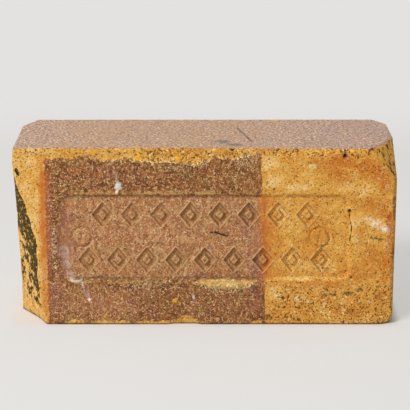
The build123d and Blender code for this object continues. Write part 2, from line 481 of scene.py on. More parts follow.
# Where each finish lies. Glaze is a signed distance in millimetres, positive inside, so that the
# material can draw its edge sharp and ragged; crack is the distance across a crack; the rest are shares.
finish = dict(
    glazeLeft=-95.2, glazeRightZ=(0, 22, 57, 85, 104), glazeRightX=(36.9, 36.2, 35.3, 34.1, 33.0),
    edgeCrisp=(3.0, 0.35),
    footX=(-96, -87, -84, -80, -74, -71, -62, -57, -34, -23, 3, 6, 22, 28, 31, 34, 38),
    footZ=(0.2, 0.4, 1.2, 2.8, 2.6, 1.8, 3.0, 1.8, 1.6, 1.8, 1.4, 0.6, 0.8, 1.0, 2.6, 1.2, 1.0),
    flashX=-96.8, flashWidth=2.1, flashZ=(0, 20, 40, 62, 92, 101, 107),
    flashShare=(0.8, 0.7, 0.7, 1.0, 1.0, 0.6, 0.2),
    mossZ=(0, 10, 18, 25, 33, 45, 53, 58, 64, 92),
    mossFrom=(1.5, 1.05, 0.85, 0.7, 0.52, 0.42, 0.32, 0.0, -0.6, -0.6),
    topCrack=((19.9, 14.6), (24.2, -3.5), (28.1, -19.7)),
    # where each thing begins and is full, by lean, distance, x or z
    frontLean=(0.3, 0.8), topLean=(0.4, 0.8), spallEase=(-1, 2), panelEase=(0.5, -2.5),
    leftX=(-60, -100), leftToastX=(-104, -97), weatheredX=(48, 34), paleGrooveX=(30, 40), wearAndRimHighlightX=(-86, -76),
    lowGritZ=(34, 14), lowGritX=(30, 45), bandGritX=(-60, -20),
    # strips, by middle and half width
    wearAndRimHighlightAbove=(1.2, 1.2), wearAndRimHighlightBelow=(-0.9, 1.1), lensRim=(0.95, 0.15), spallRim=(0.2, 1.0), ledge=(1.3, 0.7),
    # strengths; toast has its base, then the shares of the swell and of the spots
    leftCrisp=2.0, toast=(0.42, 0.2, 0.45), leftToast=(0.24, 0.1), paleGroove=0.15, weathered=0.12,
    flashInGlaze=0.62, flashReach=(0.8, 3.6), crust=0.85, noMoss=-3.0, noCrack=5.0,
    # the last strength on the next line sets how dark the crease along the panel's lower ledge is painted
    pepper=0.75, lowGrit=0.75, bandGrit=(0.25, 0.5), ledgeDarkening=0.6,
)

# Soft spots of a finish, each with its middle x and z, half sizes, strength, and its turn in degrees if any
finishSpots = dict(
    cream=[
        (38, 102, 8, 6, 0.7), (40.4, 91, 8, 6, 0.9, 20), (56, 87, 8, 3, 0.9, 5), (62.6, 93, 9, 5, 0.5),
        (85, 86, 7, 4, 0.7), (95, 84, 8, 7, 0.5), (43, 21, 7, 6, 0.7), (57, 16, 6, 3, 0.7),
        (69, 22, 5, 3, 0.5), (50, 44, 8, 12, 0.45), (62, 36, 20, 5, 0.45), (90, 58, 4, 12, 0.6, 5),
        (60, 29.3, 22, 1.5, 0.9), (98, 52, 9, 6, 0.4, -20), (12, 26, 22, 5, 1.1), (50, 60, 10, 20, 0.3),
    ],
    ochre=[
        (83.5, 103, 12, 5, 1.0, -8), (99, 97, 11, 7, 1.1, -35), (107, 89, 5, 7, 0.8, 25),
        (79, 94, 9, 6, 0.6), (48, 104, 8, 3, 0.5), (99, 77, 8, 6, 0.9), (106, 74, 5, 6, 0.8),
        (110, 66, 2.5, 8, 0.9), (93, 58, 5, 5, 0.5), (101, 45, 8, 8, 0.7), (108, 40, 5, 12, 0.8),
        (107, 18, 6, 10, 0.6), (88, 9, 16, 6, 0.7), (76, 26, 16, 4, 0.5), (95, 33, 12, 6, 0.5),
        (70, 62, 14, 8, 0.3),
    ],
    mauve=[
        (-84, 55, 7, 22, 0.9), (-93.0, 60, 2.4, 46, 1.0), (-90, 18, 6, 18, 0.9), (30, 44, 7, 20, 0.8),
        (-60, 96, 12, 5, 0.7), (31, 14, 6, 14, 0.4), (-40, 92, 12, 5, 0.5), (24, 60, 8, 8, 0.7),
        (-62, 12, 16, 8, 0.5),
    ],
    verdigris=[
        (-80, 101.5, 12, 2.4, 0.4), (-70, 79.5, 14, 3, 0.5), (-14, 97, 9, 4, 0.4), (0, 93, 8, 4, 0.4),
        (-32, 98, 9, 4, 0.6), (-20, 42, 16, 6, 0.5), (-40, 27, 18, 3, 0.5), (20, 92, 8, 5, 0.4),
    ],
    light=[(-64, 13, 34, 13, 0.7), (8, 13, 26, 10, 0.28)],
    smooth=[
        (-85, 56, 6.5, 17, 1.0), (-76, 74, 8, 5, 0.6), (31, 50, 4, 22, 0.7), (-62, 12, 12, 5, 0.5),
        (33, 14, 4, 12, 0.5),
    ],
    crusty=[
        (-90.5, 48, 2.6, 26, 0.85), (-90, 84, 4, 12, 0.3), (-10, 99.5, 20, 2.0, 0.7),
        (-54, 103.5, 9, 2, 0.8), (24, 102, 9, 4, 0.9), (-38, 25.5, 22, 3, 0.8), (14, 21.5, 20, 2, 0.9),
    ],
    mossPatch=[(-111.6, 96.8, 3.0, 6.0, 0.9, 24), (-113.4, 90, 1.6, 5.0, 0.9)],
)

# Marks on the stamped face and the top, each kind with its colour and spots as above (x and y on the top)
frontMarks = dict(
    lime=("#efe8dc", [
        (-51.6, 87.4, 2.4, 2.6, 0.9), (-52.4, 84.4, 1.4, 1.7, 0.85, -15), (-52.4, 91.0, 1.2, 1.8, 0.4),
        (-6.9, 17.7, 1.0, 1.8, 0.9, 15), (-70.0, 16.2, 1.4, 1.2, 1.0), (-70.6, 19.0, 0.7, 1.8, 0.5, 35),
        (-72.5, 21.6, 1.1, 1.4, 0.55, 30), (-73.8, 25.2, 0.9, 2.8, 0.75, 10),
        (-74.6, 29.4, 0.8, 1.6, 0.7), (-79.6, 28.4, 2.6, 1.2, 0.8, -22), (-76.8, 28.0, 2.6, 0.9, 0.85, 6),
        (84.2, 104.6, 0.7, 0.7, 0.8),
    ]),
    haze=("#c6b1a4", [
        (-84.8, 45.5, 4.2, 5.5, 0.55, 10), (-83.4, 38.6, 2.6, 5.0, 0.6, 12),
        (-82.0, 33.0, 2.4, 2.6, 0.7, 15), (-54.6, 101, 1.5, 2.6, 0.45, 15),
        (-53.0, 95.5, 1.2, 3.6, 0.5, 20), (-80.4, 30.2, 3.0, 1.9, 0.7, -40), (-77.2, 28.4, 3.4, 1.5, 0.7),
        (-72.6, 21.4, 1.6, 4.6, 0.5, 28),
    ]),
    glint=("#f3dcae", [
        (90.9, 102.6, 0.5, 0.6, 0.8), (90.4, 94.8, 0.5, 0.7, 0.9), (85.0, 89.7, 0.6, 0.5, 0.9),
        (97.9, 99.1, 0.6, 0.6, 0.6), (104.7, 96.0, 0.5, 0.5, 0.8), (102.9, 92.4, 1.2, 0.5, 0.6, -10),
        (93.8, 98.4, 0.5, 0.5, 0.7), (108.4, 87.0, 1.6, 2.0, 0.45), (110.6, 64.8, 0.5, 0.5, 0.9),
        (109.5, 50.0, 1.4, 4.0, 0.35), (111.0, 28.0, 1.0, 3.0, 0.35), (48.0, 15.6, 1.2, 0.7, 0.8, 30),
        (56.4, 15.6, 1.6, 0.9, 0.85, -30), (55.0, 17.6, 1.4, 0.7, 0.7, 10),
        (88.4, 28.8, 1.2, 0.6, 0.5, 20), (65.0, 24.6, 1.2, 0.5, 0.7), (42.6, 18.6, 2.2, 1.4, 0.6),
        (41.0, 22.4, 1.8, 1.0, 0.55),
    ]),
    olive=("#c4a35c", [(12.5, 25.6, 17.0, 3.2, 0.75), (4.0, 27.0, 7.0, 1.6, 0.6)]),
    chalk=("#f8e4c0", [
        (103.4, 63.8, 9.0, 3.6, 0.6, -28), (107.4, 61.0, 3.6, 2.0, 0.9, -35),
        (101.5, 64.6, 4.2, 1.3, 0.75, -30), (97.2, 67.4, 3.8, 1.2, 0.6, -12),
        (104.5, 66.2, 3.2, 1.0, 0.6, -30), (91.0, 55.0, 1.6, 3.6, 0.45),
    ]),
    soot=("#3a2410", [
        (38.8, 5.0, 1.9, 2.4, 0.6, 20), (40.6, 4.0, 0.7, 1.2, 0.8), (105.9, 108.3, 0.7, 1.5, 0.7, 10),
        (110.2, 107.6, 0.6, 0.9, 0.6), (111.9, 106.0, 0.5, 1.8, 0.7, 25),
        (111.6, 103.0, 0.7, 1.2, 0.8, 30), (101.0, 110.0, 0.7, 0.5, 0.8),
        (109.8, 100.3, 0.5, 2.2, 0.9, 24), (110.6, 96.8, 0.6, 2.2, 0.95, 28),
        (108.2, 99.8, 0.4, 2.4, 0.8, 30), (113.2, 93.4, 0.5, 1.0, 0.8), (107.1, 104.0, 0.5, 1.6, 0.6, 15),
        (91.7, 105.6, 1.1, 0.8, 0.7), (89.2, 99.6, 0.8, 0.7, 0.6), (93.0, 96.6, 1.8, 0.5, 0.5, 5),
        (103.0, 88.5, 1.0, 0.6, 0.6), (66.8, 99.2, 0.5, 1.4, 0.7, -15),
        (103.0, 97.6, 3.2, 0.4, 0.55, -45), (109.2, 91.6, 2.6, 0.4, 0.5, -38),
        (112.6, 13.5, 0.5, 3.0, 0.5),
    ]),
    smudge=("#66502a", [
        (102.5, 55, 6.5, 0.9, 0.8, -9), (72.6, 19.0, 2.6, 1.6, 0.7, 10), (77.4, 19.2, 1.8, 1.6, 0.7),
        (86.7, 20.1, 4.6, 1.5, 0.75, 8), (93.4, 22.4, 3.4, 1.3, 0.6, 15), (73.0, 35.0, 2.6, 1.2, 0.6, 15),
        (60.0, 33.7, 2.0, 0.9, 0.5), (46.0, 17.6, 1.2, 0.9, 0.7), (-52, 106.6, 3.0, 1.0, 0.6, 10),
        (-28.5, 107.4, 2.6, 1.0, 0.65, -10), (-31, 103.6, 1.8, 0.9, 0.6), (-5, 106.4, 2.4, 0.8, 0.5),
        (14, 107.4, 2.4, 0.8, 0.6, 15), (23.6, 106.8, 1.6, 1.2, 0.65), (-83, 107, 2.4, 0.8, 0.5),
    ]),
    burnt=("#7c4a3a", [(113.0, 76, 1.6, 8, 0.7), (113.4, 45, 1.6, 5, 0.7)]),
    pebble=("#e8c67e", [(63.8, 99.7, 2.8, 1.6, 1.0, 5)]),
    rust=("#b2521f", [(110.6, 56, 1.6, 12, 0.7), (110.2, 69, 1.6, 3, 0.8), (84, 104.4, 3.6, 1.8, 0.4)]),
    yolk=("#f3b428", [
        (-39.4, 105, 2.5, 1.9, 1.0, 20), (-16.5, 104.4, 1.8, 1.5, 0.8), (-18.2, 15.4, 1.5, 1.6, 1.0),
        (-60.3, 6.2, 0.6, 3.8, 0.9, -30), (33.6, 69.8, 2.2, 3.4, 0.55), (-66, 108.2, 1.6, 1.4, 0.7),
        (101.0, 107.5, 1.6, 1.0, 0.6), (96.4, 81.6, 0.6, 1.6, 0.6, -30),
    ]),
)
topMarks = dict(
    smudge=("#6e6256", [(10.5, -20, 6.2, 4.6, 0.8, -20), (17.5, -27, 5.2, 4.4, 0.85, -10)]),
    yolk=("#e0b050", [
        (42.9, 35.4, 4.4, 3.6, 1.0), (86.6, 11.8, 3.0, 1.6, 0.7), (95.8, 13.5, 4.0, 1.2, 0.6),
        (-42, -32.6, 5, 2.2, 0.6), (-14, -33, 4, 2.2, 0.5),
    ]),
    soot=("#5b4636", [
        (-94, -6, 1.2, 1.6, 0.6), (-34, -21, 1.6, 2.2, 0.5), (86.4, 10, 2.6, 0.8, 0.6),
        (8.6, -20.5, 3.0, 0.8, 0.7, -10), (16.4, -26.5, 3.2, 0.8, 0.75, -15),
    ]),
)


# Distance from a turned ellipse's middle over its size, with a wavy edge
def onSpot(x, z, spot, wobble):
    atX, atZ, halfX, halfZ = spot[:4]
    turn = math.radians(spot[5] if len(spot) > 5 else 0)
    c, s = math.cos(turn), math.sin(turn)
    acrossX, acrossZ = (x - atX) * c + (z - atZ) * s, (z - atZ) * c - (x - atX) * s
    return np.hypot(acrossX / halfX, acrossZ / halfZ) + 0.3 * wobble


def spots(x, z, listed, wobble):      # the strongest of several soft ellipses at each point
    total = np.zeros_like(x)
    for spot in listed:
        total = np.maximum(total, spot[4] * easeStep(1.3, 0.3, onSpot(x, z, spot, wobble)))
    return total


# Colour of the marks, weighted by how near each one is, and how much they cover
def layMarks(x, z, marks, wobble):
    tint, weight, share = np.zeros((len(x), 3)), np.full(len(x), 1e-9), np.zeros_like(x)
    for colour, listed in marks.values():
        for spot in listed:
            reach = onSpot(x, z, spot, wobble)
            pull = spot[4] * np.exp(-2 * reach ** 2)
            tint += pull[:, None] * np.array(hexColour(colour)[:3])
            weight += pull
            share = np.maximum(share, spot[4] * easeStep(1.35, 0.5, reach))
    return np.concatenate([tint / weight[:, None], share[:, None]], axis=1)


# Share of each finish at every point of the surface
def finishMasks(surface, lean, cracked, chipped):
    x, y, z = surface.T
    onFront = easeStep(*finish["frontLean"], -lean[:, 1]) * (1 - cracked)
    onTop = easeStep(*finish["topLean"], lean[:, 2])
    broken = np.maximum(cracked, chipped)
    spot = {name: spots(x, z, listed, wobble) for name, listed in finishSpots.items()}
    rightEdge = np.interp(z, finish["glazeRightZ"], finish["glazeRightX"])
    spallEdge = spallLine(x)
    aboveSpall = easeStep(*finish["spallEase"], z - spallEdge)
    footEdge = np.interp(x, finish["footX"], finish["footZ"]) + 0.8 * wobble
    up = z - height / 2 - stamp["rise"]
    panelGap = rectangleGap(x, up, stamp["halfX"], stamp["halfZ"], stamp["corner"])
    inPanel = easeStep(*finish["panelEase"], panelGap) * onFront
    outerCrisp, innerCrisp = finish["edgeCrisp"]
    crisp = outerCrisp + (innerCrisp - outerCrisp) * inPanel
    front = np.minimum.reduce([
        finish["leftCrisp"] * (x - finish["glazeLeft"]), crisp * (rightEdge - x), spallEdge - z, z - footEdge,
    ])
    for chip in (damage["lens"], damage["footChip"]):
        outside = (onEllipse(x, z, chip) - 0.12 * wobble - 0.8) * chip["half"][1]
        if chip is damage["lens"]:        # the scab stops at the panel's lower edge
            outside = np.maximum(outside, up + stamp["halfZ"])
        front = np.minimum(front, outside)
    top = np.minimum(y + halfDepth - faceDepth[2] - 0.4, halfDepth - 1.4 - y) + 0.8 * wobble
    glaze = np.where(lean[:, 2] > 0.7, top, np.where(-lean[:, 1] > 0.7, front, -4.0)) - 9 * broken

    # fired colour of the clay: pale at the left edge, deeper in patches on the right, weathered where the
    # glaze spalled off
    base, bySwell, bySpots = finish["toast"]
    toast = base + bySwell * swell + bySpots * (spot["ochre"] - spot["cream"]) * onFront
    farLeft, nearGlaze = finish["leftToast"]
    atLeft = farLeft + nearGlaze * easeStep(*finish["leftToastX"], x)
    toast = toast + (atLeft - toast) * easeStep(*finish["leftX"], x)
    tone = 1 - finish["weathered"] * aboveSpall * easeStep(*finish["weatheredX"], x) * onFront
    toast = toast - finish["paleGroove"] * groove * easeStep(*finish["paleGrooveX"], x)
    fromFlash = x - finish["flashX"] + 0.8 * wobble
    fall = np.where(fromFlash > 0, finish["flashInGlaze"], 1.0) / finish["flashWidth"]
    flashLine = np.exp(-(fall * fromFlash) ** 2) * np.interp(z, finish["flashZ"], finish["flashShare"])
    pastEdge = x - rightEdge
    flashReach = finish["flashReach"][0] + finish["flashReach"][1] * inPanel
    flashPanel = np.exp(-np.maximum(pastEdge - 0.5, 0) / flashReach) * easeStep(-5, 1.5, pastEdge)
    flash = np.maximum(flashLine, flashPanel * (0.15 + 0.85 * inPanel)) * onFront

    # the glaze is coarse outside the panel, worn pale along its edges; round the grooves' rims the pale is
    # wear and a painted highlight
    crust = finish["crust"] - 0.1 * inPanel + 0.5 * spot["crusty"] - 0.5 * groove * inPanel
    crust = crust - 0.7 * spot["smooth"]
    tinge = (spot["mauve"] - spot["verdigris"]) * onFront
    tinge = tinge + onTop * (0.7 * easeStep(10, 90, x) + 0.5 * easeStep(-80, -105, x) - 0.4)
    wearAndRimHighlight = bell(up - stamp["halfZ"], *finish["wearAndRimHighlightAbove"]) * easeStep(*finish["wearAndRimHighlightX"], x) * (0.6 + 0.6 * wobble)
    wearAndRimHighlight = np.maximum(wearAndRimHighlight, bell(up + stamp["halfZ"], *finish["wearAndRimHighlightBelow"]) * (0.55 + wobble))
    # pale rims round the grooves: wear and a painted highlight
    wearAndRimHighlight = np.maximum(wearAndRimHighlight * onFront, 0.45 * rim * inPanel)
    lensRim = bell(onEllipse(x, z, damage["lens"]), *finish["lensRim"]) * (z < damage["lens"]["at"][1])
    spallRim = bell(spallEdge - z, *finish["spallRim"]) * easeStep(-60, -30, x) * easeStep(38, 34, x)
    crumbs = (0.5 + 0.9 * wobble) * np.maximum(spallRim, lensRim)
    crumbs = np.maximum(crumbs, 0.55 * spot["crusty"]) * onFront

    # moss covers the break beyond a line across it, counted from 0 at the end to 1 at the stamped face
    along = np.interp(z, breaks["heights"], breaks["along"])
    acrossBreak = (x + halfLength) / np.maximum(along, 1.0)
    moss = 0.6 + 2.0 * (acrossBreak - np.interp(z, finish["mossZ"], finish["mossFrom"])) + 0.5 * crumble
    moss = np.clip(moss, 0.36 * easeStep(6, 14, z), 1.2) * easeStep(97, 90, z)
    moss = np.where(cracked > 0.4, moss, finish["noMoss"])
    moss = np.maximum(moss, 5 * spot["mossPatch"] + finish["noMoss"])

    # cracks, grit in the clay, painted shade inside the pits, painted contact shade with some dirt along the
    # foot, and a darker line in the crease of the panel's lower ledge
    nearest = np.min([
        faint * lineGap(x + 0.4 * wobble, z + 0.4 * wobble, line)
        for line, faint in zip(damage["cracks"], damage["crackFaint"])
    ], axis=0)
    topLine = 0.8 * lineGap(x + 0.3 * wobble, y, finish["topCrack"])
    crack = np.where(onTop > 0.5, topLine, np.where(onFront > 0.5, nearest, finish["noCrack"]))
    # painted shade inside the pits, darker than their geometry makes them
    pit = np.zeros_like(x)
    for (atX, atZ), radius, _ in damage["pits"]:
        fromPit = np.hypot(x - atX, z - atZ) + 0.5 * fine
        pit = np.maximum(pit, easeStep(radius, 0.4 * radius, fromPit) * onFront)
    lowRight = easeStep(*finish["lowGritZ"], z) * easeStep(*finish["lowGritX"], x)
    pepper = finish["pepper"] + finish["lowGrit"] * lowRight
    bandLeft, bandMore = finish["bandGrit"]
    pepper = pepper + (bandLeft + bandMore * easeStep(*finish["bandGritX"], x)) * aboveSpall
    # a darker line painted along the crease of the panel's lower ledge
    ledge = bell(up + stamp["halfZ"], *finish["ledge"]) * easeStep(-82, -76, x) * easeStep(36, 30, x)
    ledge = ledge * np.clip(0.8 + 1.6 * wobble, 0, 1) * onFront
    # painted contact shade, with some dirt, in a thin dark line along the foot
    footShadeAndDirt = easeStep(1.3, 0.4, z + 0.5 * wobble) * (lean[:, 2] > -0.9)
    panel = np.maximum(inPanel, spot["light"] * onFront)
    return dict(
        glaze=np.clip(glaze, -20, 20), toast=toast, tone=tone, flash=flash, panel=panel,
        groove=groove * inPanel, wearAndRimHighlight=wearAndRimHighlight, crust=crust, tinge=tinge, moss=moss,
        crack=np.minimum(crack, finish["noCrack"]), topFace=onTop, pepper=pepper,
        chip=easeStep(0.4, 0.8, chipped), crumbs=crumbs, keyed=keyed * onFront, pit=pit,
        shadeAndGrime=np.maximum(footShadeAndDirt, finish["ledgeDarkening"] * ledge),
    )


masks = finishMasks(surface, lean, cracked, chipped)
for name, values in masks.items():
    layer = brickMesh.attributes.new(name, "FLOAT", "POINT")
    layer.data.foreach_set("value", values.astype(np.float32))
frontStain = layMarks(surface[:, 0], surface[:, 2], frontMarks, wobble)
topStain = layMarks(surface[:, 0], surface[:, 1], topMarks, wobble)
frontStain[:, 3] *= easeStep(0.1, 0.4, -lean[:, 1]) * (surface[:, 0] > 5 - halfLength)
stain = np.where(masks["topFace"][:, None] > 0.5, topStain, frontStain)
layer = brickMesh.attributes.new("stain", "FLOAT_COLOR", "POINT")
layer.data.foreach_set("color", stain.astype(np.float32).ravel())
print("finishes laid out:", ", ".join(masks), "and stain")

# Salt-glazed fireclay: a buff, gritty body fired hard, mottled cream to ochre with dark pores and pale
# grog. Salt vapour leaves a thin brown orange-peel skin, glossy, with tan ridges where it wore thin, and
# a hot orange flash where a neighbour brick shaded it. Moss has taken hold in the old break. Grit and
# flecks are drawn about half a millimetre wide, coarser than the real grit, so that they show.
fireclayLook = dict(
    pale="#f1cb8b", buff="#dda64c", ochre="#c77a2a", pore="#5a3108", hole="#2b1a0a", grog="#eed49c",
    glazeDeep="#784523", glazeMid="#9a6033", glazePanel="#c58859", glazeShade="#39200b", fleck="#ecc389",
    fleckPanel="#f5cf9c", freshAndLit="#ecb04c", crumb="#ecd8a8", mauve="#955c50",
    # the last colour on the next line is the pale of worn edges and of the painted highlight on the groove
    # rims
    verdigris="#8d7238", pool="#a57b4c", worn="#c99d5c",
    topShade="#7a5846", topLight="#e2bb9c", topGold="#b98a52", topMauve="#a3837a",
    flash="#bf6226", moss="#1a1204", mossMid="#5a4716", mossTip="#a98d42", crack="#1d1209",
    cloud=18.0, blotch=5.0, grain=2.0, grit=0.6, lump=1.2, waver=1.2, waverReach=0.55,
    patch=3.6, tinge=9.0, ridge=1.8, segment=2.2, streak=1.6, peel=1.15, scar=1.9,
    # holes in the clay: cell size, share of cells without one, largest radius over the cell
    holes=(5.5, 0.66, 0.2),
    # pores, fine and big: share for the pepper, share more or less, relief
    finePores=(0.12, 0.0, -0.5), bigPores=(0.09, -0.05, -0.8),
    # how much each size of noise adds to the fired colour, the glaze's edge and the moss
    toastBy=dict(cloud=0.7, blotch=0.6, grain=0.4), edgeBy=dict(blotch=5.0, grain=4.0),
    mossBy=dict(blotch=3.0, grain=1.5), tuftBy=0.4, tingeBy=3.0, topTingeBy=2.0, flashBy=0.8, wearAndRimHighlightBy=3.0,
    # Among the strengths on the next line: how dark the painted shade in the pits, along the foot and in the
    # ledge's crease is laid; how pale the groove burrs get from wear and a painted highlight; and how much
    # lighter the broken corners are, partly painted light
    markBy=2.0, markGrainBy=0.9, pressed=0.58, pooled=0.3, freshAndLitShare=0.6, shadeAndGrimeShare=0.85, burrWearAndHighlight=0.4,
    # how streaks, the top's peel and scars are drawn out
    streakScale=(1.0, 1.0, 0.3), peelScale=(0.7, 1.0, 1.0), scarScale=(1.0, 0.5, 0.16), scarTilt=-32,
    # relief: weights of grit, holes, ridges, grooves and burrs, then the bump itself
    clayGrit=0.3, holeRelief=-1.5, ridgeRelief=0.7, glazeGrit=0.4, grooveRelief=-1.6, burrRelief=0.6,
    bump=0.8, bumpReach=0.5, shine=0.2,
)

# How values turn into shares and tones, by the sockets of a Map Range node: 1 and 2 are where the value
# starts and ends, 3 and 4 what comes out there, 0 and 1 where not given
spans = dict(
    buff={1: 0.7, 2: 1.2}, ochre={1: 1.15, 2: 1.75}, clayGrain={3: 0.8, 4: 1.17},
    clayLumps={3: 0.94, 4: 1.06}, pore={1: 0.0, 2: 0.03, 4: 0.8}, fineGrog={1: 0.94, 2: 0.97, 4: 0.55},
    gritty={1: 0.8, 2: 1.5, 4: 0.7}, bigGrog={1: 0.955, 2: 0.97}, hole={1: 0.0, 2: 0.08, 4: 0.85},
    patches={1: 0.4, 2: 0.6}, coarse={3: 0.2, 4: 1.0}, glazeGrain={3: 0.56, 4: 1.36},
    glazeLumps={3: 0.88, 4: 1.12}, darkSpecks={1: 0.16, 2: 0.14, 4: 0.85}, ridge={1: 0.04, 2: 0.014},
    ridgePiece={1: 0.49, 2: 0.54}, fleck={1: 0.945, 2: 0.96, 4: 0.95}, streak={1: 0.57, 2: 0.64, 4: 0.3},
    worn={1: 1.8, 2: 2.4, 4: 0.8}, peel={1: 0.36, 2: 0.64}, topGrain={3: 0.5, 4: 1.5},
    flash={1: 0.42, 2: 1.5, 4: 0.85}, glazeEdge={1: 4.2, 2: 4.8}, scar={1: 0.56, 2: 0.6, 4: 0.9},
    loose={1: 0.2, 2: 0.7}, markCover={1: 1.7, 2: 2.1}, markThick={1: 0.0, 2: 0.9, 4: 0.95},
    markLumps={3: 0.7, 4: 1.12}, tuft={1: 0.35, 2: 0.85}, mossTip={1: 0.86, 2: 0.92},
    mossCover={1: 2.85, 2: 2.97, 4: 0.96}, crack={1: 0.7, 2: 0.36, 4: 0.95},
    crackBreaks={1: 0.38, 2: 0.52, 3: 0.5}, burr={1: 0.6, 2: 0.0}, roughness={3: 0.92, 4: 0.42},
    mauve={1: 1.6, 2: 2.7, 4: 0.75}, verdigris={1: 1.4, 2: 0.3, 4: 0.75},
    topMauve={1: 1.0, 2: 1.8, 4: 0.45}, topGold={1: 1.0, 2: 0.2, 4: 0.45},
    crumb={1: 0.68, 2: 0.72, 4: 0.9}, glazeShade={1: 0.24, 2: 0.2, 4: 0.9},
)

# Settings that many nodes share: mix two colours, multiply, multiply and then add
asColour = dict(out=2, data_type="RGBA")
times = dict(operation="MULTIPLY")
timesPlus = dict(operation="MULTIPLY_ADD")


# Lozenges as the stamp has them, for the material's own relief, so that their edges stay crisp between the
# mesh's points: how far each place is from the middle line of a groove, in millimetres
def keyLines(add, where):
    spot = add("SeparateXYZ", {0: where}, out=None).outputs
    up = add("Math", {0: spot["Z"], 1: (height / 2 + stamp["rise"]) * mm}, operation="SUBTRACT")
    upper = add("Math", {0: up, 1: 0.0}, operation="GREATER_THAN")
    halfPitch = stamp["keyPitch"] / 2 * mm
    across = add("Math", {0: upper, 1: halfPitch, 2: spot["X"]}, **timesPlus)
    across = add("Math", {0: across, 1: halfPitch}, operation="PINGPONG")
    up = add("Math", {0: up}, operation="ABSOLUTE")
    up = add("Math", {0: up, 1: stamp["rowPitch"] / 2 * mm}, operation="SUBTRACT")
    up = add("Math", {0: up}, operation="ABSOLUTE")
    halfX, halfZ = stamp["keyHalf"]
    slant = math.hypot(halfX, halfZ) * mm
    inset = stamp["keyGroove"] / 2 - halfX * halfZ / math.hypot(halfX, halfZ)
    edge = add("Math", {0: across, 1: halfZ / slant, 2: inset}, **timesPlus)
    edge = add("Math", {0: up, 1: halfX / slant, 2: edge}, **timesPlus)
    return add("Math", {0: edge}, operation="ABSOLUTE")


# Clay: three fired colours mixed by the toast share and three sizes of noise, toned grain by grain, with
# dark pores and pale grog picked out of two sizes of grain, and a few deeper holes
def clayBody(add, bent, mask, lots, lumps, noise, colour, look):
    toast = mask["toast"]
    for name, weight in look["toastBy"].items():
        toast = add("Math", {0: noise[name], 1: weight, 2: toast}, **timesPlus)
    middle = add("MapRange", {0: toast, **spans["buff"]})
    deep = add("MapRange", {0: toast, **spans["ochre"]})
    body = add("Mix", {0: middle, 6: colour["pale"], 7: colour["buff"]}, **asColour)
    body = add("Mix", {0: deep, 6: body, 7: colour["ochre"]}, **asColour)
    fineTone = add("MapRange", {0: lots["Red"], **spans["clayGrain"]})
    lumpTone = add("MapRange", {0: lumps["Red"], **spans["clayLumps"]})
    tone = add("Math", {0: fineTone, 1: lumpTone}, **times)
    tone = add("Math", {0: tone, 1: mask["tone"]}, **times)
    body = add("Mix", {0: 1.0, 6: body, 7: tone}, **asColour, blend_type="MULTIPLY")
    relief = add("Math", {0: lots["Red"], 1: look["clayGrit"], 2: noise["grain"]}, **timesPlus)
    for grains, (few, least, rise) in ((lots, look["finePores"]), (lumps, look["bigPores"])):
        short = add("Math", {0: mask["pepper"], 1: few, 2: least}, **timesPlus)
        short = add("Math", {0: short, 1: grains["Green"]}, operation="SUBTRACT")
        pore = add("MapRange", {0: short, **spans["pore"]})
        body = add("Mix", {0: pore, 6: body, 7: colour["pore"]}, **asColour)
        relief = add("Math", {0: pore, 1: rise, 2: relief}, **timesPlus)
    grog = add("MapRange", {0: lots["Green"], **spans["fineGrog"]})
    body = add("Mix", {0: grog, 6: body, 7: colour["grog"]}, **asColour)
    gritty = add("MapRange", {0: mask["pepper"], **spans["gritty"]})
    grog = add("MapRange", {0: lumps["Green"], **spans["bigGrog"]})
    grog = add("Math", {0: grog, 1: gritty}, **times)
    body = add("Mix", {0: grog, 6: body, 7: colour["grog"]}, **asColour)
    cell, rare, most = look["holes"]
    cells = add("TexVoronoi", {"Vector": bent, "Scale": perCell(cell)}, out=None).outputs
    size = add("SeparateColor", {0: cells["Color"]})
    size = add("MapRange", {0: size, 1: rare, 2: 1.0, 4: most})
    size = add("Math", {0: size, 1: mask["pepper"]}, **times)
    inside = add("Math", {0: size, 1: cells["Distance"]}, operation="SUBTRACT")
    inside = add("MapRange", {0: inside, **spans["hole"]})
    body = add("Mix", {0: inside, 6: body, 7: colour["hole"]}, **asColour)
    relief = add("Math", {0: inside, 1: look["holeRelief"], 2: relief}, **timesPlus)
    return body, relief


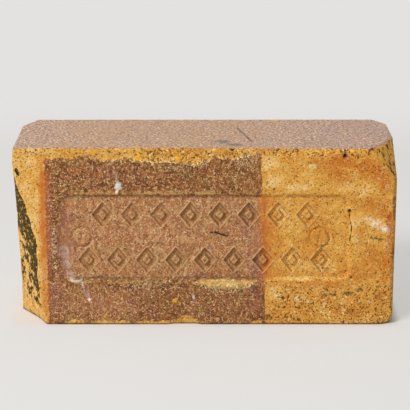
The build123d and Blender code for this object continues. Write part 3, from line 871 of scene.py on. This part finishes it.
# Glaze: deep and mid brown in patches, paler where the plate pressed it, tinged mauve or verdigris and
# pooled in the grooves, then toned grain by grain, with dark specks, flecks, and short tan ridges along
# the level lines of a noise, all as coarse as the crust; streaks run down the panel
def glazeSkin(add, where, mask, lots, lumps, noise, colour, look):
    patchy = add("MapRange", {0: noise["patch"], **spans["patches"]})
    skin = add("Mix", {0: patchy, 6: colour["glazeDeep"], 7: colour["glazeMid"]}, **asColour)
    pressed = add("Math", {0: mask["panel"], 1: look["pressed"]}, **times)
    skin = add("Mix", {0: pressed, 6: skin, 7: colour["glazePanel"]}, **asColour)
    tinge = add("Math", {0: noise["tinge"], 1: look["tingeBy"], 2: mask["tinge"]}, **timesPlus)
    for name in ("mauve", "verdigris"):
        share = add("MapRange", {0: tinge, **spans[name]})
        skin = add("Mix", {0: share, 6: skin, 7: colour[name]}, **asColour)
    pooled = add("Math", {0: mask["groove"], 1: look["pooled"]}, **times)
    skin = add("Mix", {0: pooled, 6: skin, 7: colour["pool"]}, **asColour)
    coarse = add("MapRange", {0: mask["crust"], **spans["coarse"]})
    fineTone = add("MapRange", {0: lots["Red"], **spans["glazeGrain"]})
    lumpTone = add("MapRange", {0: lumps["Red"], **spans["glazeLumps"]})
    tone = add("Math", {0: fineTone, 1: lumpTone}, **times)
    skin = add("Mix", {0: coarse, 6: skin, 7: tone}, **asColour, blend_type="MULTIPLY")
    dark = add("MapRange", {0: lots["Green"], **spans["darkSpecks"]})
    dark = add("Math", {0: dark, 1: coarse}, **times)
    level = add("Math", {0: noise["ridge"], 1: 0.5}, operation="SUBTRACT")
    level = add("Math", {0: level}, operation="ABSOLUTE")
    ridged = add("MapRange", {0: level, **spans["ridge"]})
    piece = add("MapRange", {0: noise["segment"], **spans["ridgePiece"]})
    ridged = add("Math", {0: ridged, 1: piece}, **times)
    fleck = add("MapRange", {0: lots["Green"], **spans["fleck"]})
    light = add("Math", {0: ridged, 1: fleck}, operation="MAXIMUM")
    light = add("Math", {0: light, 1: coarse}, **times)
    tan = add("Mix", {0: mask["panel"], 6: colour["fleck"], 7: colour["fleckPanel"]}, **asColour)
    drawn = add("Mapping", {"Vector": where, "Scale": look["streakScale"]})
    streak = add("TexNoise", {"Vector": drawn, "Scale": perCell(look["streak"]), "Detail": 2.0})
    streak = add("MapRange", {0: streak, **spans["streak"]})
    streak = add("Math", {0: streak, 1: mask["panel"]}, **times)
    rubbedAndLit = add("Math", {0: noise["grain"], 1: look["wearAndRimHighlightBy"], 2: mask["wearAndRimHighlight"]}, **timesPlus)
    rubbedAndLit = add("MapRange", {0: rubbedAndLit, **spans["worn"]})
    # laid one over another: dark specks, flecks and ridges, streaks, worn edges, and groove rims paled by
    # wear and a painted highlight
    coats = ((dark, colour["glazeShade"]), (light, tan), (streak, colour["fleck"]), (rubbedAndLit, colour["worn"]))
    for share, coat in coats:
        skin = add("Mix", {0: share, 6: skin, 7: coat}, **asColour)
    relief = add("Math", {0: light, 1: look["ridgeRelief"], 2: noise["grain"]}, **timesPlus)
    relief = add("Math", {0: lots["Red"], 1: look["glazeGrit"], 2: relief}, **timesPlus)
    return skin, relief


# The top took a finer, evener skin: orange peel a little longer along the brick than across it, painted dark
# in its hollows and light on its rises as painted shade and light on the peel, warmer or greyer by the tinge
def topSkin(add, where, mask, lots, noise, colour, look):
    drawn = add("Mapping", {"Vector": where, "Scale": look["peelScale"]})
    relief = add("TexNoise", {"Vector": drawn, "Scale": perCell(look["peel"]), "Detail": 3.0})
    peel = add("MapRange", {0: relief, **spans["peel"]})
    # painted shade in the peel's hollows, painted light on its rises
    skin = add("Mix", {0: peel, 6: colour["topShade"], 7: colour["topLight"]}, **asColour)
    tinge = add("Math", {0: noise["tinge"], 1: look["topTingeBy"], 2: mask["tinge"]}, **timesPlus)
    for name in ("topMauve", "topGold"):
        share = add("MapRange", {0: tinge, **spans[name]})
        skin = add("Mix", {0: share, 6: skin, 7: colour[name]}, **asColour)
    tone = add("MapRange", {0: lots["Red"], **spans["topGrain"]})
    skin = add("Mix", {0: 1.0, 6: skin, 7: tone}, **asColour, blend_type="MULTIPLY")
    return skin, relief


# The whole material: clay, the glaze over it, crumbs and marks over both, and their fine relief
def paintFireclay(tree, look):
    add = partial(put, tree)
    where = add("TexCoord", out=3)
    mask = {name: add("Attribute", out=2, attribute_name=name) for name in masks}
    colour = {name: hexColour(text) for name, text in look.items() if isinstance(text, str)}
    noise = {
        name: add("TexNoise", {"Vector": where, "Scale": perCell(look[name]), "Detail": detail})
        for name, detail in (("cloud", 2.0), ("blotch", 3.0), ("grain", 1.0), ("patch", 2.0), ("tinge", 2.0),
                             ("ridge", 2.0), ("segment", 1.0))
    }
    # grit and lumps: cells with wavy borders, each with three numbers of its own
    waver = add("TexNoise", {"Vector": where, "Scale": perCell(look["waver"]), "Detail": 1.0}, out=1)
    bend = (look["waverReach"] * mm,) * 3
    bent = add("VectorMath", {0: waver, 1: bend, 2: where}, **timesPlus)
    cells = add("TexVoronoi", {"Vector": bent, "Scale": perCell(look["grit"])}, out=1)
    lots = add("SeparateColor", {0: cells}, out=None).outputs
    cells = add("TexVoronoi", {"Vector": bent, "Scale": perCell(look["lump"])}, out=1)
    lumps = add("SeparateColor", {0: cells}, out=None).outputs
    body, clayRelief = clayBody(add, bent, mask, lots, lumps, noise, colour, look)
    skin, glazeRelief = glazeSkin(add, where, mask, lots, lumps, noise, colour, look)
    upper, upperRelief = topSkin(add, where, mask, lots, noise, colour, look)
    hot = add("Math", {0: noise["blotch"], 1: look["flashBy"], 2: mask["flash"]}, **timesPlus)
    hot = add("MapRange", {0: hot, **spans["flash"]})
    skin, body = (
        add("Mix", {0: hot, 6: under, 7: colour["flash"]}, **asColour) for under in (skin, body)
    )
    skin = add("Mix", {0: mask["topFace"], 6: skin, 7: upper}, **asColour)
    glazeRelief = add("Mix", {0: mask["topFace"], 2: glazeRelief, 3: upperRelief}, data_type="FLOAT")
    # the glaze ends in a ragged line
    ragged = mask["glaze"]
    for name, weight in look["edgeBy"].items():
        ragged = add("Math", {0: noise[name], 1: weight, 2: ragged}, **timesPlus)
    glazed = add("MapRange", {0: ragged, **spans["glazeEdge"]}, interpolation_type="SMOOTHSTEP")
    # fresher, lighter clay in the broken corners, partly the fresh break's own colour and partly painted
    # light, with dirt in their long scars
    freshAndLit = add("Math", {0: mask["chip"], 1: look["freshAndLitShare"]}, **times)
    body = add("Mix", {0: freshAndLit, 6: body, 7: colour["freshAndLit"]}, **asColour)
    tilt = (0.0, math.radians(look["scarTilt"]), 0.0)
    drawn = add("Mapping", {"Vector": where, "Rotation": tilt, "Scale": look["scarScale"]})
    scar = add("TexNoise", {"Vector": drawn, "Scale": perCell(look["scar"]), "Detail": 2.0})
    scar = add("MapRange", {0: scar, **spans["scar"]})
    scar = add("Math", {0: scar, 1: mask["chip"]}, **times)
    body = add("Mix", {0: scar, 6: body, 7: colour["hole"]}, **asColour)
    paint = add("Mix", {0: glazed, 6: body, 7: skin}, **asColour)
    # crumbs, pale and dark, where the glaze broke
    loose = add("MapRange", {0: mask["crumbs"], **spans["loose"]})
    for name in ("crumb", "glazeShade"):
        share = add("MapRange", {0: lots["Blue"], **spans[name]})
        share = add("Math", {0: share, 1: loose}, **times)
        paint = add("Mix", {0: share, 6: paint, 7: colour[name]}, **asColour)
    # marks on top of both, thin ones worn through
    stain = add("Attribute", out=None, attribute_name="stain").outputs
    cover = add("Math", {0: noise["grain"], 1: look["markBy"], 2: stain["Alpha"]}, **timesPlus)
    cover = add("Math", {0: lots["Blue"], 1: look["markGrainBy"], 2: cover}, **timesPlus)
    cover = add("MapRange", {0: cover, **spans["markCover"]})
    thick = add("MapRange", {0: stain["Alpha"], **spans["markThick"]})
    cover = add("Math", {0: cover, 1: thick}, **times)
    tone = add("MapRange", {0: lumps["Red"], **spans["markLumps"]})
    mark = add("Mix", {0: 1.0, 6: stain["Color"], 7: tone}, **asColour, blend_type="MULTIPLY")
    # moss, dark with olive tips and the clay showing between the tufts
    tuft = add("MapRange", {0: lots["Red"], **spans["tuft"]})
    tip = add("MapRange", {0: lumps["Green"], **spans["mossTip"]})
    growth = add("Mix", {0: tuft, 6: colour["moss"], 7: colour["mossMid"]}, **asColour)
    growth = add("Mix", {0: tip, 6: growth, 7: colour["mossTip"]}, **asColour)
    grown = mask["moss"]
    for name, weight in look["mossBy"].items():
        grown = add("Math", {0: noise[name], 1: weight, 2: grown}, **timesPlus)
    grown = add("Math", {0: lumps["Blue"], 1: look["tuftBy"], 2: grown}, **timesPlus)
    grown = add("MapRange", {0: grown, **spans["mossCover"]})
    # cracks that break off here and there, painted shade in the pits, painted contact shade with some dirt
    # along the foot, and a darker line in the crease of the panel's lower ledge
    line = add("MapRange", {0: mask["crack"], **spans["crack"]})
    broken = add("MapRange", {0: noise["grain"], **spans["crackBreaks"]})
    line = add("Math", {0: line, 1: broken}, **times)
    # painted shade for the pits and the foot, and the ledge's darker crease, laid in the colour of the holes
    shadeAndGrime = add("Math", {0: mask["shadeAndGrime"], 1: mask["pit"]}, operation="MAXIMUM")
    shadeAndGrime = add("Math", {0: shadeAndGrime, 1: look["shadeAndGrimeShare"]}, **times)
    # the four laid one over another
    for share, coat in ((cover, mark), (grown, growth), (line, colour["crack"]), (shadeAndGrime, colour["hole"])):
        paint = add("Mix", {0: share, 6: paint, 7: coat}, **asColour)
    # fine relief: the skins' own, and the lozenges' edges
    relief = add("Mix", {0: glazed, 2: clayRelief, 3: glazeRelief}, data_type="FLOAT")
    fromLine = keyLines(add, where)
    halfGroove = stamp["keyGroove"] / 2
    sunk = add("MapRange", {0: fromLine, 1: halfGroove + 0.1, 2: halfGroove - 0.7},
               interpolation_type="SMOOTHSTEP")
    sunk = add("Math", {0: sunk, 1: mask["keyed"]}, **times)
    burr = add("Math", {0: fromLine, 1: halfGroove + 0.35}, operation="SUBTRACT")
    burr = add("Math", {0: burr}, operation="ABSOLUTE")
    burr = add("MapRange", {0: burr, **spans["burr"]}, interpolation_type="SMOOTHSTEP")
    burr = add("Math", {0: burr, 1: mask["keyed"]}, **times)
    # pale line along the groove burrs: wear and a painted highlight
    worn = add("Math", {0: burr, 1: look["burrWearAndHighlight"]}, **times)
    paint = add("Mix", {0: worn, 6: paint, 7: colour["fleck"]}, **asColour)
    relief = add("Math", {0: sunk, 1: look["grooveRelief"], 2: relief}, **timesPlus)
    relief = add("Math", {0: burr, 1: look["burrRelief"], 2: relief}, **timesPlus)
    bumps = add("Bump", {"Strength": look["bump"], "Distance": look["bumpReach"] * mm, "Height": relief})
    gloss = add("MapRange", {0: glazed, **spans["roughness"]})
    shader = add("BsdfPrincipled", {
        "Base Color": paint, "Roughness": gloss, "Normal": bumps, "Specular IOR Level": look["shine"],
    })
    add("OutputMaterial", {"Surface": shader}, out=None)


fireclay, tree = newMaterial("salt_glazed_fireclay")
paintFireclay(tree, fireclayLook)
brickMesh.materials.append(fireclay)
print("glaze and clay painted")

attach(glazedBrick, "root")
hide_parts("brick")
